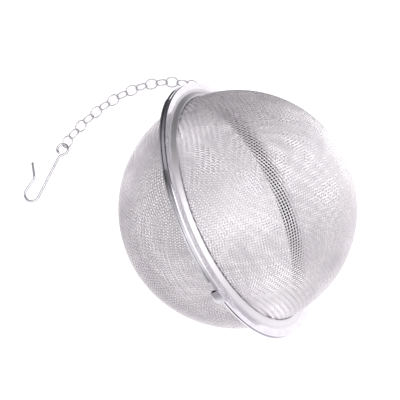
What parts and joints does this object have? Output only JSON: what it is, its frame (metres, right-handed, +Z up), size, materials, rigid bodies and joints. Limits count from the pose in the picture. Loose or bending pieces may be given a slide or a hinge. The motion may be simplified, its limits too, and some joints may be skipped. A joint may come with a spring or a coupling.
{
  "type": "tea infuser",
  "caption": "Woven-wire ball infuser for loose tea: two half balls with polished rims and a twist catch, on a cable chain with a wire hook.",
  "frame": {"origin": "on the table under the ball's centre, midway across the ball without its chain", "axes": "+Z up from the table the ball lies on; the ball's own axis lies in the XZ plane, pointing to +X and up through the upper half; +Y along the rim's level diameter"},
  "size_m": [0.0949, 0.0949, 0.0702],
  "materials": {
    "woven_wire": "bright drawn stainless wire",
    "rim_steel": "polished pressed stainless strip",
    "liner_steel": "satin stainless strip",
    "chain_wire": "bright stainless wire",
    "hook_wire": "bright stainless wire"
  },
  "bodies": {
    "lower_half": {"lower_mesh": "woven_wire", "lower_rim": "rim_steel", "lower_liner": "liner_steel", "chain_lug": "rim_steel"},
    "upper_half": {"upper_mesh": "woven_wire", "upper_rim": "rim_steel", "upper_liner": "liner_steel"},
    "jump_ring": {"jump_ring": "chain_wire"},
    "link_01": {"link_01": "chain_wire"},
    "link_02": {"link_02": "chain_wire"},
    "link_03": {"link_03": "chain_wire"},
    "link_04": {"link_04": "chain_wire"},
    "link_05": {"link_05": "chain_wire"},
    "link_06": {"link_06": "chain_wire"},
    "link_07": {"link_07": "chain_wire"},
    "link_08": {"link_08": "chain_wire"},
    "link_09": {"link_09": "chain_wire"},
    "link_10": {"link_10": "chain_wire"},
    "link_11": {"link_11": "chain_wire"},
    "link_12": {"link_12": "chain_wire"},
    "link_13": {"link_13": "chain_wire"},
    "link_14": {"link_14": "chain_wire"},
    "link_15": {"link_15": "chain_wire"},
    "link_16": {"link_16": "chain_wire"},
    "link_17": {"link_17": "chain_wire"},
    "link_18": {"link_18": "chain_wire"},
    "link_19": {"link_19": "chain_wire"},
    "link_20": {"link_20": "chain_wire"},
    "link_21": {"link_21": "chain_wire"},
    "hook": {"hook": "hook_wire"}
  },
  "joints": [
    {"name": "twist_lock", "type": "hinge", "parent": "lower_half", "child": "upper_half", "pos_m": [0, 0, 0.0351], "axis": [0.8714, 0, 0.4906], "range_deg": [-3.9, 12]},
    {"name": "jump_ring_swing", "type": "hinge", "parent": "lower_half", "child": "jump_ring", "pos_m": [0.00905, 0.03735, 0.0174], "axis": [-1, 0, 0], "range_deg": [-45, 35]},
    {"name": "link_01_swing", "type": "hinge", "parent": "jump_ring", "child": "link_01", "pos_m": [0.00905, 0.03735, 0.0122], "axis": [1, 0, 0], "range_deg": [-45, 45]},
    {"name": "link_02_swing", "type": "hinge", "parent": "link_01", "child": "link_02", "pos_m": [0.00897, 0.03778, 0.00911], "axis": [0.5748, 0.8124, 0.0984], "range_deg": [-45, 45]},
    {"name": "link_03_swing", "type": "hinge", "parent": "link_02", "child": "link_03", "pos_m": [0.00866, 0.03886, 0.00601], "axis": [-0.8629, 0.4438, 0.2418], "range_deg": [-45, 45]},
    {"name": "link_04_swing", "type": "hinge", "parent": "link_03", "child": "link_04", "pos_m": [0.00787, 0.04083, 0.00348], "axis": [-0.4527, -0.7671, -0.4545], "range_deg": [-45, 45]},
    {"name": "link_05_swing", "type": "hinge", "parent": "link_04", "child": "link_05", "pos_m": [0.00652, 0.04335, 0.00183], "axis": [-0.7903, -0.0198, 0.6124], "range_deg": [-45, 45]},
    {"name": "link_06_swing", "type": "hinge", "parent": "link_05", "child": "link_06", "pos_m": [0.00469, 0.04607, 0.00145], "axis": [-0.5413, -0.462, -0.7025], "range_deg": [-45, 45]},
    {"name": "link_07_swing", "type": "hinge", "parent": "link_06", "child": "link_07", "pos_m": [0.00228, 0.04832, 0.00145], "axis": [-0.4822, -0.5171, 0.7071], "range_deg": [-45, 45]},
    {"name": "link_08_swing", "type": "hinge", "parent": "link_07", "child": "link_08", "pos_m": [-0.00044, 0.05019, 0.00145], "axis": [0.4001, 0.583, 0.7071], "range_deg": [-45, 45]},
    {"name": "link_09_swing", "type": "hinge", "parent": "link_08", "child": "link_09", "pos_m": [-0.00341, 0.05164, 0.00145], "axis": [0.3115, 0.6348, -0.7071], "range_deg": [-45, 45]},
    {"name": "link_10_swing", "type": "hinge", "parent": "link_09", "child": "link_10", "pos_m": [-0.00654, 0.05267, 0.00145], "axis": [0.2208, 0.6717, 0.7071], "range_deg": [-45, 45]},
    {"name": "link_11_swing", "type": "hinge", "parent": "link_10", "child": "link_11", "pos_m": [-0.00978, 0.05329, 0.00145], "axis": [0.1327, 0.6946, -0.7071], "range_deg": [-45, 45]},
    {"name": "link_12_swing", "type": "hinge", "parent": "link_11", "child": "link_12", "pos_m": [-0.01307, 0.05353, 0.00145], "axis": [0.0505, 0.7053, 0.7071], "range_deg": [-45, 45]},
    {"name": "link_13_swing", "type": "hinge", "parent": "link_12", "child": "link_13", "pos_m": [-0.01637, 0.05342, 0.00145], "axis": [-0.0235, 0.7067, -0.7071], "range_deg": [-45, 45]},
    {"name": "link_14_swing", "type": "hinge", "parent": "link_13", "child": "link_14", "pos_m": [-0.01965, 0.053, 0.00145], "axis": [-0.0885, 0.7016, 0.7071], "range_deg": [-45, 45]},
    {"name": "link_15_swing", "type": "hinge", "parent": "link_14", "child": "link_15", "pos_m": [-0.02288, 0.05233, 0.00145], "axis": [-0.1446, 0.6922, -0.7071], "range_deg": [-45, 45]},
    {"name": "link_16_swing", "type": "hinge", "parent": "link_15", "child": "link_16", "pos_m": [-0.02605, 0.05143, 0.00145], "axis": [0.1933, -0.6802, -0.7071], "range_deg": [-45, 45]},
    {"name": "link_17_swing", "type": "hinge", "parent": "link_16", "child": "link_17", "pos_m": [-0.02916, 0.05032, 0.00145], "axis": [0.2365, -0.6664, 0.7071], "range_deg": [-45, 45]},
    {"name": "link_18_swing", "type": "hinge", "parent": "link_17", "child": "link_18", "pos_m": [-0.0322, 0.04903, 0.00145], "axis": [0.2763, -0.6509, -0.7071], "range_deg": [-45, 45]},
    {"name": "link_19_swing", "type": "hinge", "parent": "link_18", "child": "link_19", "pos_m": [-0.03515, 0.04756, 0.00145], "axis": [0.3151, -0.633, 0.7071], "range_deg": [-45, 45]},
    {"name": "link_20_swing", "type": "hinge", "parent": "link_19", "child": "link_20", "pos_m": [-0.03801, 0.04591, 0.00145], "axis": [0.355, -0.6115, -0.7071], "range_deg": [-45, 45]},
    {"name": "link_21_swing", "type": "hinge", "parent": "link_20", "child": "link_21", "pos_m": [-0.04074, 0.04405, 0.00145], "axis": [0.3974, -0.5848, 0.7071], "range_deg": [-45, 45]},
    {"name": "hook_swing", "type": "hinge", "parent": "link_21", "child": "hook", "pos_m": [-0.04331, 0.04198, 0.00145], "axis": [-0.4432, 0.551, 0.7071], "range_deg": [-45, 45]}
  ]
}
